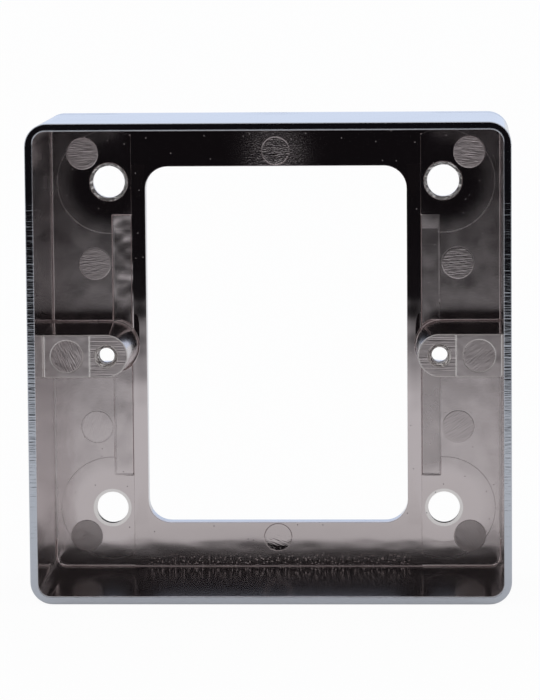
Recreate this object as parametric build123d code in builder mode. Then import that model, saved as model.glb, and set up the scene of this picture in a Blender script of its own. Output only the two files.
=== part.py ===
"""Single-gang switch box for a surface-mounted wiring accessory.

One die-cast and chrome-plated shell, upright as it hangs on a wall: its open
side faces -Y, its back faces +Y and it stands on its bottom wall at Z = 0.
All sizes are in millimetres and all angles in degrees.
"""

import os
from math import atan, degrees, radians, tan

from build123d import *

# Outside of the shell
width = 86.0
height = 86.0
depth = 35.0
corner_radius = 4.0
outer_draft = 0.2
back_edge_chamfer = 0.4

# Walls and base
wall = 1.4
rim_edge_chamfer = 0.12
rim_corner_radius = 2.3
inner_draft = 0.45
base = 3.5
floor_radius = 0.35

# Window in the base for the cables and the back of the accessory
window_width = 48.2
window_height = 66.3
window_corner_radius = 4.2

# Four holes through the base for the wall screws, each in a raised pad
screw_pitch_x = 61.6
screw_pitch_z = 60.7
screw_hole_diameter = 5.9
screw_hole_flare = 1.0
screw_hole_chamfer = 0.55
screw_hole_chamfer_angle = 120
pad_diameter = 19.1
pad_height = 0.1
pad_edge_angle = 45
dish_diameter = 12.6
dish_depth = 0.07

# Two grooves in the floor, which leave a crowned rail along each side of the window
rail_width = 2.6
rail_crown = 0.12
rail_length = 67.0
rail_ramp = 6.0
groove_width = 3.4
groove_length = 48.2
groove_depth = 0.18
groove_edge_angle = 45
groove_ramp = 2.6
groove_rise = 0.1

# Two lugs that take the screws of the accessory
lug_screw_pitch = 60.3
lug_width = 7.8
lug_recess = 13.7
lug_draft = 2.0
lug_foot = 0.35
lug_plate = 4.2
lug_wall = 1.7
lug_core_draft = 3.0
lug_edge_chamfer = 0.15
lug_wall_radius = 0.3
thread_pitch_diameter = 3.11
countersink_diameter = 4.2
milled_margin = 2.9
milled_depth = 0.2

# Round marks that the ejector pins leave in the casting
ejector_diameter = 6.0
ejector_small_diameter = 5.2
ejector_depth = 0.07
ejector_edge_angle = 45
ejector_inset = 5.75
ejector_gap = 0.35
ejector_lug_offset = 7.15

# Sizes that follow from the values above
cavity_depth = depth - base
cavity_width = width - 2 * wall
cavity_height = height - 2 * wall
draft_loss = cavity_depth * tan(radians(inner_draft))
floor_half_width = cavity_width / 2 - draft_loss
floor_half_height = cavity_height / 2 - draft_loss
rail_edge_x = window_width / 2 + rail_width
rail_x = window_width / 2 + rail_width / 2
groove_x = rail_edge_x + groove_width / 2
groove_top_z = height / 2 + groove_length / 2
lug_x = lug_screw_pitch / 2
lug_height = cavity_depth - lug_recess
lug_end_x = cavity_width / 2 + wall / 4
lug_foot_width = lug_width + 2 * (lug_height - lug_foot) * tan(radians(lug_draft))
core_half_width = lug_width / 2 + lug_plate * tan(radians(lug_draft)) - lug_wall
core_depth = depth - lug_recess - lug_plate
core_flare = core_depth * tan(radians(lug_core_draft))
core_start_x = lug_x - core_half_width
core_end_x = width / 2 - lug_wall - core_flare
milled_length = 2 * lug_width
milled_width = 2 * lug_width
flare_angle = degrees(atan(screw_hole_flare / base))
dish_angle = degrees(atan((dish_diameter - screw_hole_diameter) / 2 / dish_depth))
ejector_groove_x = groove_x + groove_width / 2 + ejector_gap + ejector_diameter / 2
ejector_corner_x = floor_half_width - ejector_inset
ejector_corner_z = floor_half_height - ejector_inset
ejector_middle_z = window_height / 2 + ejector_gap / 2 + ejector_small_diameter / 2

# Planes parallel to the wall, centred on the box and facing its open side
back = Plane(origin=(0, depth / 2, height / 2), x_dir=(1, 0, 0), z_dir=(0, -1, 0))
floor = back.offset(base)
rim = back.offset(depth)
lug_face = back.offset(base + lug_height)
lug_milled = lug_face.offset(-milled_depth)
floor_y = floor.origin.Y
lug_face_y = lug_face.origin.Y
margin = 0.01


with BuildPart() as switch_box:
    # Shell: four drafted walls around a flat base
    with BuildSketch(rim):
        RectangleRounded(width, height, corner_radius)
    extrude(amount=-depth)
    draft(switch_box.faces().filter_by(Axis.Y, reverse=True), rim, -outer_draft)
    with BuildSketch(rim):
        RectangleRounded(cavity_width, cavity_height, rim_corner_radius)
    extrude(amount=-cavity_depth, taper=inner_draft, mode=Mode.SUBTRACT)
    levels = switch_box.faces().filter_by(Axis.Y).sort_by(Axis.Y)
    fillet(levels[1].edges(), floor_radius)
    levels = switch_box.faces().filter_by(Axis.Y).sort_by(Axis.Y)
    chamfer(levels[-1].edges(), back_edge_chamfer)
    levels = switch_box.faces().filter_by(Axis.Y).sort_by(Axis.Y)
    chamfer(levels[0].edges(), rim_edge_chamfer)

    # Raised pads around the wall screws, each dished towards its hole
    with BuildSketch(floor):
        with GridLocations(screw_pitch_x, screw_pitch_z, 2, 2):
            Circle(pad_diameter / 2)
    extrude(amount=pad_height, taper=pad_edge_angle)
    with BuildSketch(floor):
        Rectangle(2 * rail_edge_x, 2 * floor_half_height)
        with GridLocations(2 * groove_x, 0, 2, 1):
            Rectangle(groove_width, groove_length)
    extrude(amount=pad_height, mode=Mode.SUBTRACT)
    with BuildSketch(floor.offset(pad_height)):
        with GridLocations(screw_pitch_x, screw_pitch_z, 2, 2):
            Circle(dish_diameter / 2)
    extrude(amount=-dish_depth, taper=dish_angle, mode=Mode.SUBTRACT)

    # Grooves beside the window, with sloped sides and a ramp at the upper end
    with BuildSketch(floor):
        with GridLocations(2 * groove_x, 0, 2, 1):
            Rectangle(groove_width, groove_length)
    extrude(amount=-groove_depth, taper=groove_edge_angle, mode=Mode.SUBTRACT)
    for side in (-1, 1):
        with BuildSketch(Plane.YZ.offset(side * groove_x)):
            with BuildLine():
                Polyline(
                    (floor_y + groove_depth - groove_rise, groove_top_z),
                    (floor_y + groove_depth, groove_top_z),
                    (floor_y + groove_depth, groove_top_z - groove_ramp),
                    close=True,
                )
            make_face()
        extrude(amount=groove_width / 2, both=True)

    # Crowned rails between the grooves and the window, sloped off at their ends
    with BuildPart(mode=Mode.PRIVATE) as rails:
        with BuildSketch(Plane.XY.offset(height / 2)):
            for side in (-1, 1):
                with BuildLine():
                    ThreePointArc(
                        (side * window_width / 2, floor_y),
                        (side * rail_x, floor_y - rail_crown),
                        (side * rail_edge_x, floor_y),
                    )
                    Line((side * rail_edge_x, floor_y), (side * window_width / 2, floor_y))
                make_face()
        extrude(amount=rail_length / 2, both=True)
        with BuildSketch(Plane.YZ):
            with BuildLine():
                Polyline(
                    (floor_y, height / 2 + rail_length / 2),
                    (floor_y - rail_crown, height / 2 + rail_length / 2 - rail_ramp),
                    (floor_y - rail_crown, height / 2 - rail_length / 2 + rail_ramp),
                    (floor_y, height / 2 - rail_length / 2),
                    close=True,
                )
            make_face()
        extrude(amount=rail_edge_x, both=True, mode=Mode.INTERSECT)
    add(rails.part)

    # Window
    with BuildSketch(floor.offset(pad_height)):
        RectangleRounded(window_width, window_height, window_corner_radius)
    extrude(amount=-(base + pad_height), mode=Mode.SUBTRACT)

    # Lugs: ribs off the side walls that end in a half round
    with BuildSketch(lug_face):
        for side in (-1, 1):
            with Locations((side * lug_x, 0)):
                Circle(lug_width / 2)
            with Locations((side * (lug_x + lug_end_x) / 2, 0)):
                Rectangle(lug_end_x - lug_x, lug_width)
    extrude(amount=-(lug_height + groove_depth), taper=-lug_draft)
    with BuildSketch(floor.offset(lug_foot)):
        for side in (-1, 1):
            with Locations((side * lug_x, 0)):
                Circle(lug_foot_width / 2)
            with Locations((side * (lug_x + lug_end_x) / 2, 0)):
                Rectangle(lug_end_x - lug_x, lug_foot_width)
    extrude(amount=-(lug_foot + groove_depth), taper=-45)

    # Cores from the back leave each lug hollow below its plate
    with BuildSketch(back):
        with GridLocations(core_start_x + core_end_x, 0, 2, 1):
            SlotOverall(core_end_x - core_start_x + 2 * core_flare, 2 * (core_half_width + core_flare))
    extrude(amount=core_depth, taper=lug_core_draft, mode=Mode.SUBTRACT)

    # Milled seats on the lugs
    with BuildSketch(lug_milled):
        with GridLocations(2 * (lug_x + milled_margin - milled_length / 2), 0, 2, 1):
            Rectangle(milled_length, milled_width)
    extrude(amount=milled_depth, taper=-45, mode=Mode.SUBTRACT)

    # Broken edges around the lugs, and the fillets where their faces meet the walls
    lug_levels = (lug_face_y - margin, lug_face_y + milled_depth + margin)
    lug_edges = switch_box.edges().filter_by_position(Axis.Y, *lug_levels)
    chamfer(lug_edges.filter_by(Axis.Z, reverse=True), lug_edge_chamfer)
    lug_edges = switch_box.edges().filter_by_position(Axis.Y, lug_face_y - margin, lug_face_y + margin)
    lug_edges = lug_edges.filter_by(Axis.Z).sort_by(Axis.X)
    fillet([lug_edges[0], lug_edges[-1]], lug_wall_radius)

    # Tapping holes of the accessory screws
    with Locations(lug_milled):
        with GridLocations(lug_screw_pitch, 0, 2, 1):
            CounterSinkHole(thread_pitch_diameter / 2, countersink_diameter / 2, depth)

    # Wall screw holes, chamfered in front and flared towards the back
    with Locations(floor.offset(pad_height - dish_depth)):
        with GridLocations(screw_pitch_x, screw_pitch_z, 2, 2):
            CounterSinkHole(
                screw_hole_diameter / 2,
                screw_hole_diameter / 2 + screw_hole_chamfer,
                base + pad_height,
                screw_hole_chamfer_angle,
            )
    with BuildSketch(back):
        with GridLocations(screw_pitch_x, screw_pitch_z, 2, 2):
            Circle(screw_hole_diameter / 2 + screw_hole_flare / 2)
    extrude(amount=base / 2, taper=flare_angle, mode=Mode.SUBTRACT)

    # Ejector marks: those in the corners lie half on a pad, a little below its face
    with BuildSketch(floor):
        with GridLocations(2 * ejector_corner_x, 2 * ejector_corner_z, 2, 2):
            Circle(ejector_diameter / 2)
    extrude(amount=pad_height - ejector_depth, taper=ejector_edge_angle)
    with BuildSketch(floor.offset(pad_height)):
        with GridLocations(2 * ejector_corner_x, 2 * ejector_corner_z, 2, 2):
            Circle(ejector_diameter / 2)
    extrude(amount=-ejector_depth, taper=ejector_edge_angle, mode=Mode.SUBTRACT)
    with BuildSketch(floor):
        with GridLocations(2 * ejector_groove_x, screw_pitch_z / 2, 2, 2):
            Circle(ejector_diameter / 2)
        with GridLocations(0, 2 * ejector_middle_z, 1, 2):
            Circle(ejector_small_diameter / 2)
    extrude(amount=-ejector_depth, taper=ejector_edge_angle, mode=Mode.SUBTRACT)
    with BuildSketch(lug_face):
        with GridLocations(2 * (lug_x + ejector_lug_offset), 0, 2, 1):
            Circle(ejector_diameter / 2)
    extrude(amount=-ejector_depth, taper=ejector_edge_angle, mode=Mode.SUBTRACT)
    switch_box.part.label = "switch_box"

os.makedirs("parts", exist_ok=True)
export_step(switch_box.part, "parts/switch_box.step")
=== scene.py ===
"""Looks of the chrome-plated switch box: finish, threads, floor, light and camera."""

from math import pi, radians, tan

import bpy
from mathutils import Euler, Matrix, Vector


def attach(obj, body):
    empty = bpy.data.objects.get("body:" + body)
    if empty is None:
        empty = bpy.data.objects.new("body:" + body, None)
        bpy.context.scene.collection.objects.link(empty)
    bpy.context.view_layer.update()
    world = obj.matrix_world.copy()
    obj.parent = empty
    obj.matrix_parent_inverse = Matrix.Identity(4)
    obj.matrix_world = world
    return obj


# Lengths are in metres, and in millimetres where a name ends in _mm
MM = 0.001
MIDDLE = 43 * MM

# The camera stands a little above and to the right of the box
VIEW_AZIMUTH = radians(2.72)
VIEW_ELEVATION = radians(6.55)
VIEW_ROLL = radians(-0.45)
VIEW_DISTANCE = 747 * MM
VIEW_TARGET = Vector((-0.6 * MM, 0, 43.7 * MM))
FILM_HEIGHT_mm = 36
LENS_mm = 211.7

# The white sheet under the box is painted darker towards the front: painted shade where the tent opens
# onto the dark room in front of it
SHEET_SHADE_BEGINS = -220 * MM
SHEET_SHADE_FULL = -445 * MM
SHEET_FRONT = -1500 * MM
SHEET_BACK = 4000 * MM
SHEET_SIDE = 2500 * MM
SHEET_HUE = "#f8f8f8"
DARK_ROOM_AND_SHEET_SHADE_HUE = "#181618"

# The white tent opens towards the front and is bluer at the back: how far back a direction points
# where the opening ends, where the cloth is fully lit, and where its blue starts and is full
TENT_OPEN = -0.80
TENT_LIT = -0.62
TENT_WHITE = 0.2
TENT_BLUE = 0.9
TENT_FRONT_HUE = "#f2f2f2"
TENT_BACK_HUE = "#d8e4fa"

# Shares of plain white in the sheet for the camera and in the tent for mirrors, and of the sheet's
# glow in its painted shade for mirrors
SHEET_SEEN = 0.95
SHEET_MIRRORED = 0.2
TENT_MIRRORED = 0.1

# Screws of the accessory: M3.5 coarse threads in the two lugs, from the seat to the core
SCREW_SPACING_mm = 60.3
THREAD_PITCH_mm = 0.6
BORE_RADIUS_mm = 1.555
THREAD_DEPTH_mm = 0.12
THREAD_SINK_mm = 0.02
THREAD_ROOT_mm = 0.36
THREAD_CREST_mm = 0.2
THREAD_START_mm = -2.9
THREAD_TURNS = 5.25
THREAD_STEPS = 24

# Regions of the casting, each a box given by two corners: across, deep and up from its middle.
# A place is measured as it is, folded into one quarter of the casting, or in that quarter's plan.
# The last two values say how far from the box the region is still full, and where it has faded out.
REGIONS_mm = {
    "within_walls": ("plan", (0, 0, 0), (39, 0, 39), 3.25, 3.35),
    "behind_rim": ("place", (-43, -17.36, -43), (43, 15.5, 43), 0.0, 0.1),
    "worn_rim": ("place", (-43, -17.5, -43), (43, -17.45, 28), 0.02, 3.0),
    "lower": ("place", (-43, -18, -43), (43, 18, -5), 0.0, 2.0),
    "floor": ("quarter", (0, 13.5, 0), (41.1, 14.5, 41.1), 0.0, 0.3),
    "sides": ("quarter", (27.2, 13.5, 0), (41, 14.5, 29), 0.0, 0.8),
    "corners": ("quarter", (31, 13.5, 29), (41, 14.5, 41), 0.0, 5.0),
    "flat_pads": ("quarter", (27, 13.5, 4.9), (40.7, 14.5, 40.7), 0.0, 0.3),
    "foot_of_walls": ("quarter", (40.3, 13.4, 5), (41.6, 14.6, 36), 0.0, 0.4),
    "grooves": ("quarter", (26.7, 13.9, 0), (30.1, 14.5, 24.1), 0.0, 0.3),
    "worn_groove": ("place", (-30.1, 13.9, -2), (-26.7, 14.5, 24.1), 0.0, 0.3),
    "dull_groove": ("place", (26.7, 13.9, -24.1), (30.1, 14.5, -4), 0.0, 0.3),
    "screw_ground": ("plan", (30.8, 0, 30.35), (30.8, 0, 30.35), 4.6, 9.5),
    "screw_holes": ("plan", (30.8, 0, 30.35), (30.8, 0, 30.35), 3.45, 3.6),
    "lug_face": ("quarter", (26, -3.9, 0), (42, -3.5, 4), 0.0, 0.12),
    "lug_outline": ("quarter", (26, -3.9, 0), (42, -3.25, 4.2), 0.0, 0.1),
    "milled_seat": ("quarter", (26, -3.65, 0), (33.05, -3.4, 4), 0.0, 0.12),
    "countersink": ("quarter", (30.15, -3.6, 0), (30.15, -2.95, 0), 2.1, 2.2),
    "top_cloud": ("place", (0, 13, 36), (0, 15, 36), 2.5, 11),
    "bottom_haze": ("place", (-41, 13.5, -41), (41, 14.5, -38.5), 0.0, 3.5),
    "bottom_specks": ("place", (-24, 13.5, -41), (24, 14.5, -39.6), 0.0, 2.0),
}

# Regions made of two others
JOINED_REGIONS = [
    ("recess", "within_walls", "MULTIPLY", "behind_rim"),
    ("walls", "recess", "SUBTRACT", "floor"),
    ("columns", "sides", "MAXIMUM", "corners"),
    ("low_foot", "foot_of_walls", "MULTIPLY", "lower"),
    ("pads", "flat_pads", "MAXIMUM", "low_foot"),
    ("low_holes", "lower", "MULTIPLY", "screw_holes"),
    ("high_holes", "screw_holes", "SUBTRACT", "low_holes"),
    ("marked", "floor", "MAXIMUM", "lug_face"),
]

# Ejector marks: across, up, radius, angle of the tool lines, their slope, and roughness of each
MARKS_mm = [
    (-35.6, 35.6, 2.95, 2, 10.0, 0.34), (35.6, 35.6, 2.95, -3, 12.0, 0.34),
    (-35.6, -35.6, 2.95, 28, 5.0, 0.31), (35.6, -35.6, 2.95, -52, 7.0, 0.31),
    (-33.5, 15.15, 2.95, 8, 7.0, 0.34), (33.5, 15.15, 2.95, 0, 4.5, 0.22),
    (-33.5, -15.15, 2.95, 75, 1.5, 0.17), (33.5, -15.15, 2.95, 35, 3.0, 0.24),
    (0, 35.95, 2.55, 6, 5.0, 0.16), (0, -35.95, 2.55, -20, 1.0, 0.06),
    (-37.3, 0, 2.95, -68, 15.0, 0.28), (37.3, 0, 2.95, 40, 6.0, 0.33),
]
MARK_EDGE_mm = 0.15

# Relief of the surface: region, size of its lumps or lines, slope of their flanks in degrees, and
# detail. What is under 0.5 mm is finer on the real casting, and drawn this coarse so that it shows.
RELIEF_mm = [
    ("columns", (2.0, 3.0, 4.0), 0.3, 1.0),
    ("haze", (0.3, 0.3, 0.3), 0.3, 1.0),
    ("top_cloud", (0.3, 0.3, 0.3), 4.0, 2.0),
    ("grooves", (3.4, 3.0, 6.0), 0.8, 1.0),
    ("worn_groove", (3.4, 3.0, 3.4), 2.2, 1.0),
    ("bottom_haze", (6.0, 5.0, 3.0), 0.6, 1.0),
    ("high_holes", (0.7, 0.7, 0.7), 10.0, 1.0),
    ("countersink", (0.6, 0.6, 0.6), 22.0, 1.0),
    ("worn_rim", (4.0, 2.0, 0.3), 2.6, 2.0),
    ("milled_seat", (8.0, 2.0, 0.25), 7.0, 1.0),
    ("walls", (2.5, 30.0, 2.5), 0.8, 1.0),
]

# The whole casting ripples faintly, and the marks have tool lines, with this slope times their own
RIPPLE_mm = (10, 14, 8)
RIPPLE_SLOPE = 0.3
TOOL_LINE_mm = (2.0, 1.0, 0.22)
TOOL_LINE_SLOPE = 1.0

# The noise rises by about this much over the size of one lump
NOISE_RISE = 0.6

# Specks that stand out of the plating, far apart on the floor and dense along its lower edge:
# how far apart they are, their radius and their height. Real ones are finer, and wouldn't show.
SPECKS_mm = (5.0, 0.1, 0.02)
DENSE_SPECKS_mm = (0.8, 0.112, 0.05)

# Haze of the plating comes in clouds of this size, between these values of their noise
HAZE_CLOUD_mm = 4.545
HAZE_THIN = 0.3
HAZE_THICK = 0.7

# Radius that the plating gives to an edge, and to the low edges on the floor
EDGE_mm = 0.25
FLOOR_EDGE_mm = 0.12
EDGE_SAMPLES = 6

# How squarely a rounded edge faces the front where it begins, and where it counts in full,
# and how far the soft edges are eased flat
SOFT_EDGE = (0.9999, 0.998)
LUG_EDGE = (0.995, 0.97)
SOFT_EDGE_EASE = 0.965

# Roughness of the mirror, what each region adds to it, and that of the lugs' faces
MIRROR = 0.055
DULLER = [
    ("haze", 0.105), ("hazy_patches", 0.06), ("top_cloud", 0.12), ("bottom_haze", 0.14),
    ("walls", 0.09), ("outside", 0.015), ("worn_rim", 0.02), ("worn_groove", 0.04),
    ("dull_groove", 0.09), ("high_holes", 0.14), ("countersink", 0.12), ("soft_edges", 0.08),
]
LUG_ROUGHNESS = 0.28
DULLER_ON_LUGS = [("milled_seat", 0.03), ("lug_edges", 0.1)]

# Hues of the plating: chromium outside, thin chromium on nickel inside, and a paler painted highlight
# on some edges
OUTSIDE_HUE = "#bcc0c8"
RECESS_HUE = "#c6bdbd"
PAINTED_HIGHLIGHT_HUE = "#e2dedc"


def colour(hexa):
    """An sRGB hex value as linear red, green, blue and alpha."""
    channels = [int(hexa[i:i + 2], 16) / 255 for i in (1, 3, 5)]
    return [c / 12.92 if c <= 0.04045 else ((c + 0.055) / 1.055) ** 2.4 for c in channels] + [1]


def add(tree, kind, inputs=None, **settings):
    """Adds a node with its settings, and sets its inputs or links them to sockets or nodes."""
    made = tree.nodes.new(kind)
    for name, value in settings.items():
        setattr(made, name, value)
    for name, value in (inputs or {}).items():
        if isinstance(value, bpy.types.Node):
            value = next(socket for socket in value.outputs if socket.enabled)
        if isinstance(value, bpy.types.NodeSocket):
            tree.links.new(value, made.inputs[name])
        else:
            made.inputs[name].default_value = value
    return made


def empty_material(name):
    """A new material without nodes, and its node tree."""
    material = bpy.data.materials.new(name)
    material.use_nodes = True
    material.node_tree.nodes.clear()
    return material, material.node_tree


def near(tree, spot, low, high, full_mm, none_mm):
    """One up to full_mm from a box of the casting, and nothing from none_mm on."""
    below = add(tree, "ShaderNodeVectorMath", {0: low, 1: spot}, operation="SUBTRACT")
    above = add(tree, "ShaderNodeVectorMath", {0: spot, 1: high}, operation="SUBTRACT")
    past = add(tree, "ShaderNodeVectorMath", {0: below, 1: above}, operation="MAXIMUM")
    past = add(tree, "ShaderNodeVectorMath", {0: past, 1: (0, 0, 0)}, operation="MAXIMUM")
    reach = add(tree, "ShaderNodeVectorMath", {0: past}, operation="LENGTH")
    return add(tree, "ShaderNodeMapRange", {"Value": reach, "From Min": none_mm, "From Max": full_mm},
               interpolation_type="SMOOTHSTEP")


def uneven(tree, spot, lumps_mm, slope, detail=1.0):
    """Height in millimetres of lumps of the given sizes, with flanks of about slope degrees."""
    scaled = add(tree, "ShaderNodeVectorMath", {0: spot, 1: [1 / lump for lump in lumps_mm]},
                 operation="MULTIPLY")
    noise = add(tree, "ShaderNodeTexNoise", {
        "Vector": scaled, "Scale": 1.0, "Detail": detail, "Roughness": 0.5,
    })
    height = min(lumps_mm) * tan(radians(slope)) / NOISE_RISE
    return add(tree, "ShaderNodeMath", {0: noise, 1: height}, operation="MULTIPLY")


def specks(tree, face, apart_mm, radius_mm, height_mm):
    """Height in millimetres of pointed specks on a face of the casting."""
    cells = add(tree, "ShaderNodeTexVoronoi", {"Vector": face, "Scale": 1 / apart_mm},
                voronoi_dimensions="2D")
    return add(tree, "ShaderNodeMapRange", {
        "Value": cells, "From Min": radius_mm / apart_mm, "From Max": 0.0, "To Max": height_mm,
    })


def casting_spots(tree):
    """Where a point of the casting is, in millimetres from its middle, in the ways it is measured."""
    where = add(tree, "ShaderNodeTexCoord")
    centred = add(tree, "ShaderNodeVectorMath", {0: where.outputs["Object"], 1: (0, 0, -MIDDLE)},
                  operation="ADD")
    place = add(tree, "ShaderNodeVectorMath", {0: centred, "Scale": 1 / MM}, operation="SCALE")
    folded = add(tree, "ShaderNodeVectorMath", {0: place}, operation="ABSOLUTE")
    axes = add(tree, "ShaderNodeSeparateXYZ", {0: place}).outputs
    sizes = add(tree, "ShaderNodeSeparateXYZ", {0: folded}).outputs
    return {
        "place": place,
        "quarter": add(tree, "ShaderNodeCombineXYZ", {0: sizes["X"], 1: axes["Y"], 2: sizes["Z"]}),
        "plan": add(tree, "ShaderNodeCombineXYZ", {0: sizes["X"], 2: sizes["Z"]}),
        "flat": add(tree, "ShaderNodeCombineXYZ", {0: axes["X"], 2: axes["Z"]}),
        "face": add(tree, "ShaderNodeCombineXYZ", {0: axes["X"], 1: axes["Z"]}),
    }


def casting_regions(tree, spots):
    """One inside each region of the casting and nothing outside it, by the region's name."""
    regions = {}
    for name, (spot, low, high, full, none) in REGIONS_mm.items():
        regions[name] = near(tree, spots[spot], low, high, full, none)
    for name, first, how, second in JOINED_REGIONS:
        regions[name] = add(tree, "ShaderNodeMath", {0: regions[first], 1: regions[second]},
                            operation=how)
    regions["outside"] = add(tree, "ShaderNodeMath", {0: 1.0, 1: regions["recess"]},
                             operation="SUBTRACT")

    # The haze leaves out the ground around the wall screws and the lower edge of the floor
    clear = add(tree, "ShaderNodeMath", {0: 1.0, 1: regions["screw_ground"]}, operation="SUBTRACT")
    clear = add(tree, "ShaderNodeMath", {0: clear, 1: regions["bottom_haze"]}, operation="SUBTRACT",
                use_clamp=True)
    regions["haze"] = add(tree, "ShaderNodeMath", {0: regions["columns"], 1: clear},
                          operation="MULTIPLY")
    clouds = add(tree, "ShaderNodeTexNoise", {
        "Vector": spots["place"], "Scale": 1 / HAZE_CLOUD_mm, "Detail": 3.0,
    })
    clouds = add(tree, "ShaderNodeMapRange", {
        "Value": clouds, "From Min": HAZE_THIN, "From Max": HAZE_THICK,
    })
    regions["hazy_patches"] = add(tree, "ShaderNodeMath", {0: regions["haze"], 1: clouds},
                                  operation="MULTIPLY")
    return regions


def ejector_marks(tree, flat, level):
    """Where the marks are, the slope and the lay of their tool lines, and how dull each is."""
    marks = 0.0
    lines = 0.0
    turn = 0.0
    dull = LUG_ROUGHNESS
    for mark_x, mark_z, radius, lay, slope, roughness in MARKS_mm:
        centre = (mark_x, 0, mark_z)
        within = near(tree, flat, centre, centre, radius - MARK_EDGE_mm, radius)
        marks = add(tree, "ShaderNodeMath", {0: marks, 1: within}, operation="ADD")
        lines = add(tree, "ShaderNodeMath", {0: within, 1: slope, 2: lines}, operation="MULTIPLY_ADD")
        turn = add(tree, "ShaderNodeMath", {0: within, 1: radians(lay), 2: turn},
                   operation="MULTIPLY_ADD")
        dull = add(tree, "ShaderNodeMath", {0: within, 1: roughness - LUG_ROUGHNESS, 2: dull},
                   operation="MULTIPLY_ADD")
    marks = add(tree, "ShaderNodeMath", {0: marks, 1: level}, operation="MULTIPLY")
    lines = add(tree, "ShaderNodeMath", {0: lines, 1: level}, operation="MULTIPLY")
    lay = add(tree, "ShaderNodeVectorRotate", {"Vector": flat, "Angle": turn}, rotation_type="Y_AXIS")
    return marks, lines, lay, dull


def rounded_edges(tree, regions):
    """The surface's direction with every edge rounded by the plating. Adds two regions of edges.

    The low pads, grooves and holes are cast soft, so their edges are eased and draw faint lines.
    """
    radius = add(tree, "ShaderNodeMath", {
        0: regions["floor"], 1: (FLOOR_EDGE_mm - EDGE_mm) * MM, 2: EDGE_mm * MM,
    }, operation="MULTIPLY_ADD")
    rounded = add(tree, "ShaderNodeBevel", {"Radius": radius}, samples=EDGE_SAMPLES)
    rounded = add(tree, "ShaderNodeVectorTransform", {"Vector": rounded}, vector_type="NORMAL",
                  convert_from="WORLD", convert_to="OBJECT")
    facing = add(tree, "ShaderNodeSeparateXYZ", {0: rounded})
    square = add(tree, "ShaderNodeMath", {0: facing.outputs["Y"]}, operation="ABSOLUTE")
    for name, (begins, full), region in (("soft_edges", SOFT_EDGE, "pads"),
                                         ("lug_edges", LUG_EDGE, "lug_outline")):
        tilted = add(tree, "ShaderNodeMapRange", {
            "Value": square, "From Min": begins, "From Max": full,
        })
        regions[name] = add(tree, "ShaderNodeMath", {0: tilted, 1: regions[region]},
                            operation="MULTIPLY")
    ease = add(tree, "ShaderNodeMath", {0: regions["soft_edges"], 1: regions["low_holes"]},
               operation="MAXIMUM")
    ease = add(tree, "ShaderNodeMath", {0: ease, 1: SOFT_EDGE_EASE}, operation="MULTIPLY")
    eased = add(tree, "ShaderNodeMix", {0: ease, 4: rounded, 5: (0, -1, 0)}, data_type="VECTOR")
    eased = add(tree, "ShaderNodeVectorTransform", {"Vector": eased}, vector_type="NORMAL",
                convert_from="OBJECT", convert_to="WORLD")
    return add(tree, "ShaderNodeVectorMath", {0: eased}, operation="NORMALIZE")


def plated_casting():
    """Zinc die casting under copper, nickel and bright chromium: a hard grey mirror.

    Chromium plates thinly in the recess, so the warmer nickel shows through there. The mirror is
    clean on the rails and the outside, hazy beside them, brushed on the rim and dull in the marks.
    """
    material, tree = empty_material("bright_chrome_on_zinc_casting")
    spots = casting_spots(tree)
    regions = casting_regions(tree, spots)
    marks, lines, lay, dull = ejector_marks(tree, spots["flat"], regions["marked"])
    direction = rounded_edges(tree, regions)

    layers = [
        (lines, uneven(tree, lay, TOOL_LINE_mm, TOOL_LINE_SLOPE)),
        (regions["floor"], specks(tree, spots["face"], *SPECKS_mm)),
        (regions["bottom_specks"], specks(tree, spots["face"], *DENSE_SPECKS_mm)),
    ]
    for region, lumps, slope, detail in RELIEF_mm:
        layers.append((regions[region], uneven(tree, spots["place"], lumps, slope, detail)))
    height = uneven(tree, spots["place"], RIPPLE_mm, RIPPLE_SLOPE)
    for share, layer in layers:
        height = add(tree, "ShaderNodeMath", {0: share, 1: layer, 2: height}, operation="MULTIPLY_ADD")
    bump = add(tree, "ShaderNodeBump", {"Height": height, "Distance": MM, "Normal": direction})

    roughness = MIRROR
    for region, more in DULLER:
        roughness = add(tree, "ShaderNodeMath", {0: regions[region], 1: more, 2: roughness},
                        operation="MULTIPLY_ADD")
    matt = add(tree, "ShaderNodeMath", {0: marks, 1: regions["lug_face"]}, operation="MAXIMUM")
    roughness = add(tree, "ShaderNodeMix", {0: matt, 2: roughness, 3: dull}, data_type="FLOAT")
    for region, more in DULLER_ON_LUGS:
        roughness = add(tree, "ShaderNodeMath", {0: regions[region], 1: more, 2: roughness},
                        operation="MULTIPLY_ADD")

    # Painted highlight: a paler hue on the edges of the screw holes, the countersinks and the lugs,
    # where they would catch the light
    painted_highlight = add(tree, "ShaderNodeMath", {0: regions["screw_holes"], 1: regions["countersink"]},
                operation="MAXIMUM")
    painted_highlight = add(tree, "ShaderNodeMath", {0: painted_highlight, 1: regions["lug_edges"]}, operation="MAXIMUM")
    tint = add(tree, "ShaderNodeMix", {
        0: regions["recess"], 6: colour(OUTSIDE_HUE), 7: colour(RECESS_HUE),
    }, data_type="RGBA")
    tint = add(tree, "ShaderNodeMix", {0: painted_highlight, 6: tint, 7: colour(PAINTED_HIGHLIGHT_HUE)}, data_type="RGBA")
    shader = add(tree, "ShaderNodeBsdfPrincipled", {
        "Base Color": tint, "Metallic": 1.0, "Roughness": roughness, "Normal": bump,
    })
    add(tree, "ShaderNodeOutputMaterial", {"Surface": shader})
    return material


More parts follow.
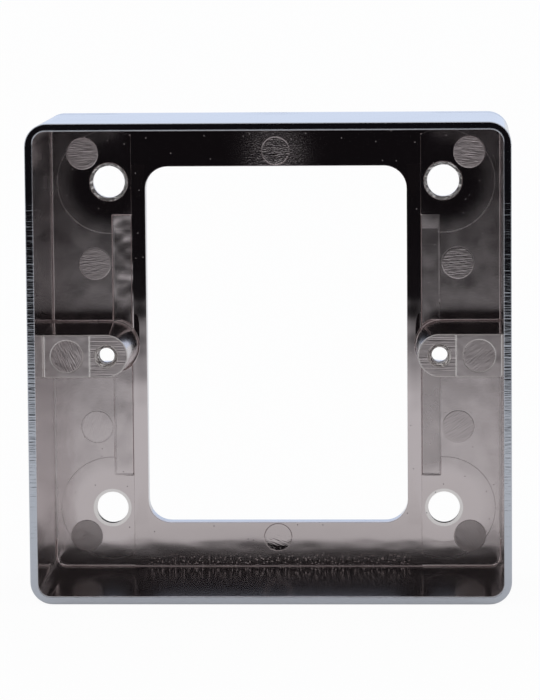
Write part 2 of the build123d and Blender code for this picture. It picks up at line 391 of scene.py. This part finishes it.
def lug_threads(finish):
    """Right-handed threads in both lugs, swept as a ridge along a spiral."""
    tree = bpy.data.node_groups.new("lug_threads", "GeometryNodeTree")
    tree.interface.new_socket("Threads", in_out="OUTPUT", socket_type="NodeSocketGeometry")
    values = {
        "Turns": THREAD_TURNS,
        "Length": THREAD_TURNS * THREAD_PITCH_mm * MM,
        "Radius": (BORE_RADIUS_mm + THREAD_SINK_mm - THREAD_DEPTH_mm / 2) * MM,
        "Ridge": THREAD_DEPTH_mm * MM,
        "Root": THREAD_ROOT_mm * MM,
        "Crest": THREAD_CREST_mm * MM,
        "Spacing": SCREW_SPACING_mm * MM,
    }
    sockets = {}
    for name, value in values.items():
        sockets[name] = tree.interface.new_socket(name, in_out="INPUT", socket_type="NodeSocketFloat")
    given = add(tree, "NodeGroupInput").outputs
    spiral = add(tree, "GeometryNodeCurveSpiral", {
        "Resolution": THREAD_STEPS, "Rotations": given["Turns"], "Start Radius": given["Radius"],
        "End Radius": given["Radius"], "Height": given["Length"], "Reverse": True,
    })
    upright = add(tree, "GeometryNodeSetCurveNormal", {"Curve": spiral}, mode="Z_UP")
    ridge = add(tree, "GeometryNodeCurvePrimitiveQuadrilateral", {
        "Height": given["Ridge"], "Bottom Width": given["Root"], "Top Width": given["Crest"],
        "Offset": 0.0,
    }, mode="TRAPEZOID")
    inward = add(tree, "GeometryNodeTransform", {"Geometry": ridge, "Rotation": (0, 0, pi / 2)})
    swept = add(tree, "GeometryNodeCurveToMesh", {
        "Curve": upright, "Profile Curve": inward, "Fill Caps": True,
    })
    level = add(tree, "GeometryNodeTransform", {
        "Geometry": swept, "Rotation": (-pi / 2, 0, 0),
        "Translation": (0, THREAD_START_mm * MM, MIDDLE),
    })
    side = add(tree, "ShaderNodeCombineXYZ", {"X": given["Spacing"]})
    screws = add(tree, "GeometryNodeMeshLine", {"Count": 2, "Offset": side})
    centre = add(tree, "ShaderNodeVectorMath", {0: side, "Scale": -0.5}, operation="SCALE")
    screws = add(tree, "GeometryNodeSetPosition", {"Geometry": screws, "Offset": centre})
    pair = add(tree, "GeometryNodeInstanceOnPoints", {"Points": screws, "Instance": level})
    real = add(tree, "GeometryNodeRealizeInstances", {"Geometry": pair})
    plated = add(tree, "GeometryNodeSetMaterial", {"Geometry": real, "Material": finish})
    add(tree, "NodeGroupOutput", {0: plated})

    maker = bpy.data.objects.new("thread_maker", bpy.data.meshes.new("thread_maker"))
    bpy.context.scene.collection.objects.link(maker)
    modifier = maker.modifiers.new("lug_threads", "NODES")
    modifier.node_group = tree
    for name, value in values.items():
        modifier[sockets[name].identifier] = value
    made = maker.evaluated_get(bpy.context.evaluated_depsgraph_get())
    mesh = bpy.data.meshes.new_from_object(made)
    bpy.data.objects.remove(maker)
    threads = bpy.data.objects.new("lug_threads", mesh)
    bpy.context.scene.collection.objects.link(threads)
    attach(threads, "root")


def seen_by(tree):
    """One for rays from the camera, and one for rays that a mirror or glass sends on."""
    path = add(tree, "ShaderNodeLightPath")
    mirrored = add(tree, "ShaderNodeMath", {
        0: path.outputs["Is Glossy Ray"], 1: path.outputs["Is Transmission Ray"],
    }, operation="MAXIMUM")
    return path.outputs["Is Camera Ray"], mirrored


def white_paper():
    """Matt white paper with painted shade towards the front, in its colour and in its glow for
    mirrors; the camera sees it almost as plain white with a faint shadow.
    """
    material, tree = empty_material("matt_white_paper")
    where = add(tree, "ShaderNodeTexCoord")
    axes = add(tree, "ShaderNodeSeparateXYZ", {0: where.outputs["Object"]})
    # Painted shade: the paper's colour, and with it its glow in mirrors, darkens towards the front
    # where the tent opens
    lit = add(tree, "ShaderNodeMapRange", {
        "Value": axes.outputs["Y"], "From Min": SHEET_SHADE_FULL, "From Max": SHEET_SHADE_BEGINS,
    })
    tone = add(tree, "ShaderNodeMix", {0: lit, 6: colour(DARK_ROOM_AND_SHEET_SHADE_HUE), 7: colour(SHEET_HUE)},
               data_type="RGBA")
    paper = add(tree, "ShaderNodeBsdfDiffuse", {"Color": tone})
    camera, mirrored = seen_by(tree)
    seen = add(tree, "ShaderNodeMix", {0: camera, 6: tone, 7: (1, 1, 1, 1)}, data_type="RGBA")
    glow = add(tree, "ShaderNodeEmission", {"Color": seen, "Strength": 1.0})
    share = add(tree, "ShaderNodeMath", {0: camera, 1: SHEET_SEEN}, operation="MULTIPLY")
    share = add(tree, "ShaderNodeMath", {0: mirrored, 1: SHEET_MIRRORED, 2: share},
                operation="MULTIPLY_ADD")
    both = add(tree, "ShaderNodeMixShader", {0: share, 1: paper, 2: glow})
    add(tree, "ShaderNodeOutputMaterial", {"Surface": both})
    return material


def make_floor():
    """The sheet that the box stands on, which goes on behind it."""
    mesh = bpy.data.meshes.new("floor")
    corners = [(-SHEET_SIDE, SHEET_FRONT, 0), (SHEET_SIDE, SHEET_FRONT, 0),
               (SHEET_SIDE, SHEET_BACK, 0), (-SHEET_SIDE, SHEET_BACK, 0)]
    mesh.from_pydata(corners, [], [(0, 1, 2, 3)])
    mesh.materials.append(white_paper())
    floor = bpy.data.objects.new("floor", mesh)
    bpy.context.scene.collection.objects.link(floor)


def make_room():
    """A white tent around the box, open towards a dark room in front."""
    world = bpy.data.worlds.new("white_tent")
    bpy.context.scene.world = world
    world.use_nodes = True
    tree = world.node_tree
    tree.nodes.clear()
    where = add(tree, "ShaderNodeTexCoord")
    back = add(tree, "ShaderNodeSeparateXYZ", {0: where.outputs["Generated"]}).outputs["Y"]
    tent = add(tree, "ShaderNodeMapRange", {
        "Value": back, "From Min": TENT_OPEN, "From Max": TENT_LIT,
    }, interpolation_type="SMOOTHSTEP")
    behind = add(tree, "ShaderNodeMapRange", {
        "Value": back, "From Min": TENT_WHITE, "From Max": TENT_BLUE,
    }, interpolation_type="SMOOTHSTEP")
    cloth = add(tree, "ShaderNodeMix", {
        0: behind, 6: colour(TENT_FRONT_HUE), 7: colour(TENT_BACK_HUE),
    }, data_type="RGBA")
    tone = add(tree, "ShaderNodeMix", {0: tent, 6: colour(DARK_ROOM_AND_SHEET_SHADE_HUE), 7: cloth}, data_type="RGBA")

    # The camera sees plain white, and so do metal and glass where they mirror the lit tent
    camera, mirrored = seen_by(tree)
    mirrored = add(tree, "ShaderNodeMath", {0: mirrored, 1: tent}, operation="MULTIPLY")
    white = add(tree, "ShaderNodeMath", {0: mirrored, 1: TENT_MIRRORED, 2: camera},
                operation="MULTIPLY_ADD", use_clamp=True)
    seen = add(tree, "ShaderNodeMix", {0: white, 6: tone, 7: (1, 1, 1, 1)}, data_type="RGBA")
    sky = add(tree, "ShaderNodeBackground", {"Color": seen, "Strength": 1.0})
    add(tree, "ShaderNodeOutputWorld", {"Surface": sky})


def make_camera():
    """The camera at the photograph's angle, with its small roll."""
    data = bpy.data.cameras.new("camera")
    data.sensor_fit = "VERTICAL"
    data.sensor_height = FILM_HEIGHT_mm
    data.lens = LENS_mm
    camera = bpy.data.objects.new("camera", data)
    bpy.context.scene.collection.objects.link(camera)
    turn = Euler((pi / 2 - VIEW_ELEVATION, 0, VIEW_AZIMUTH)).to_matrix()
    turn = turn @ Euler((0, 0, VIEW_ROLL)).to_matrix()
    camera.matrix_world = turn.to_4x4()
    camera.location = VIEW_TARGET + turn @ Vector((0, 0, VIEW_DISTANCE))
    bpy.context.scene.camera = camera


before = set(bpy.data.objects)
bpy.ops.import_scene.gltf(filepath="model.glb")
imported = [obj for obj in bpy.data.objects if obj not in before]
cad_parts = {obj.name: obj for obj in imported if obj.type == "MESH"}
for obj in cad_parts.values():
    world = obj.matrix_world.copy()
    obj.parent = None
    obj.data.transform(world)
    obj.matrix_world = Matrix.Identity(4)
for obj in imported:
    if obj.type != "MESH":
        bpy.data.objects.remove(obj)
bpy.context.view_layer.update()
chrome = plated_casting()
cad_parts["switch_box"].data.materials[0] = chrome
lug_threads(chrome)

make_floor()
make_room()
make_camera()
bpy.context.scene.view_settings.view_transform = "Standard"
